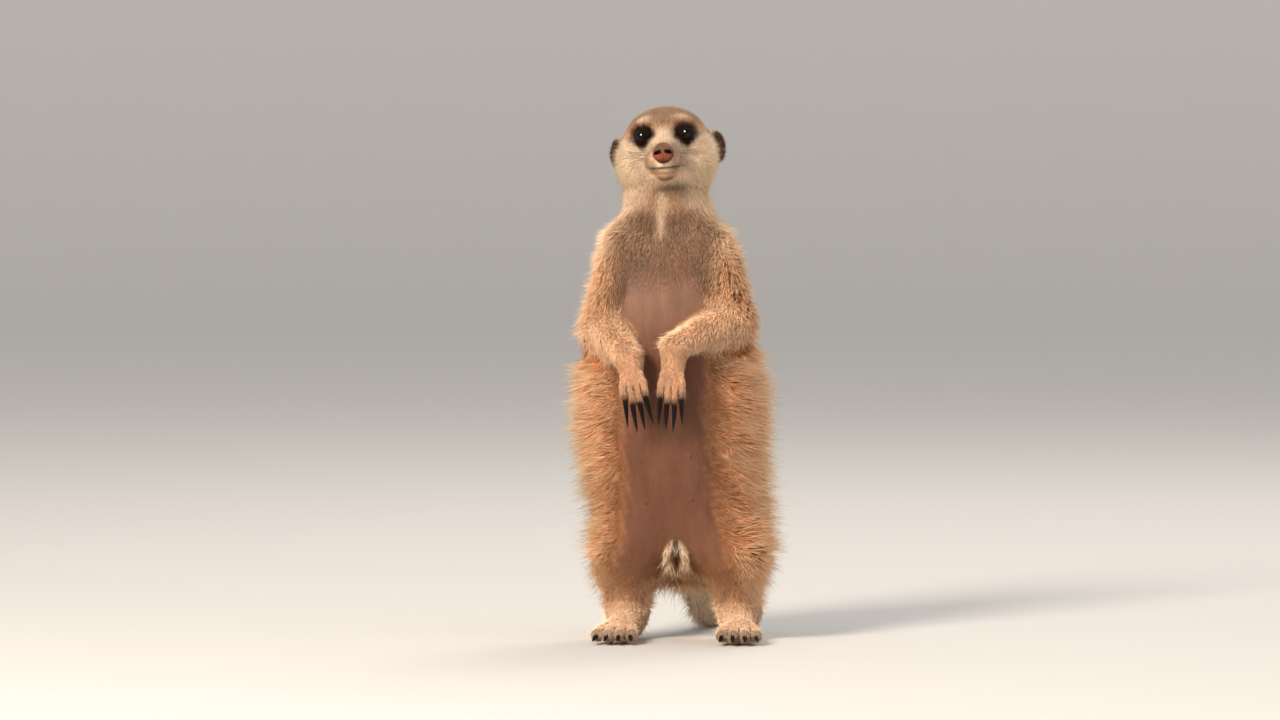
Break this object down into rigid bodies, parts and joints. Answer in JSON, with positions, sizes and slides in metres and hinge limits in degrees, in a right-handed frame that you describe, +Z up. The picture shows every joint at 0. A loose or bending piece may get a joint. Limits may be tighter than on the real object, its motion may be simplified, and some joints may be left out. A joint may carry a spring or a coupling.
{
  "type": "meerkat",
  "caption": "Life-size still meerkat standing upright on its hind legs, propped on its tail, forepaws hanging in front of its belly.",
  "frame": {"origin": "on the floor, under the middle of the whole animal, tail included", "axes": "+Z up, -Y the way the animal faces, +X towards its left side"},
  "size_m": [0.1104, 0.249, 0.2991],
  "materials": {
    "coat": "matt, tan fur with pale tips, thin grey-brown on the belly",
    "face_coat": "matt, very short cream and tan fur with dark patches round the eyes",
    "paw_coat": "matt, short cream and buff fur",
    "ear_coat": "matt, dark brown short fur",
    "tail_tip_coat": "matt, brown-black fur",
    "nose_skin": "moist, finely pebbled brown-pink skin",
    "eye": "wet gloss, very dark brown",
    "claw": "satin horn, near black"
  },
  "bodies": {
    "root": {"upper_arm_left": "coat", "forearm_left": "paw_coat", "front_claw_left_1": "claw", "front_claw_left_2": "claw", "front_claw_left_3": "claw", "front_claw_left_4": "claw", "hand_left": "paw_coat", "upper_arm_right": "coat", "forearm_right": "paw_coat", "front_claw_right_1": "claw", "front_claw_right_2": "claw", "front_claw_right_3": "claw", "front_claw_right_4": "claw", "hand_right": "paw_coat", "thigh_left": "coat", "shank_left": "coat", "hind_claw_left_1": "claw", "hind_claw_left_2": "claw", "hind_claw_left_3": "claw", "hind_claw_left_4": "claw", "foot_left": "paw_coat", "thigh_right": "coat", "shank_right": "coat", "hind_claw_right_1": "claw", "hind_claw_right_2": "claw", "hind_claw_right_3": "claw", "hind_claw_right_4": "claw", "foot_right": "paw_coat", "tail_base": "coat", "tail_middle": "coat", "tail_tip": "tail_tip_coat", "ear_left": "ear_coat", "eye_left": "eye", "ear_right": "ear_coat", "eye_right": "eye", "nose": "nose_skin", "lower_jaw": "face_coat", "head": "face_coat", "neck": "coat", "chest": "coat", "belly": "coat", "rump": "coat"}
  },
  "joints": []
}
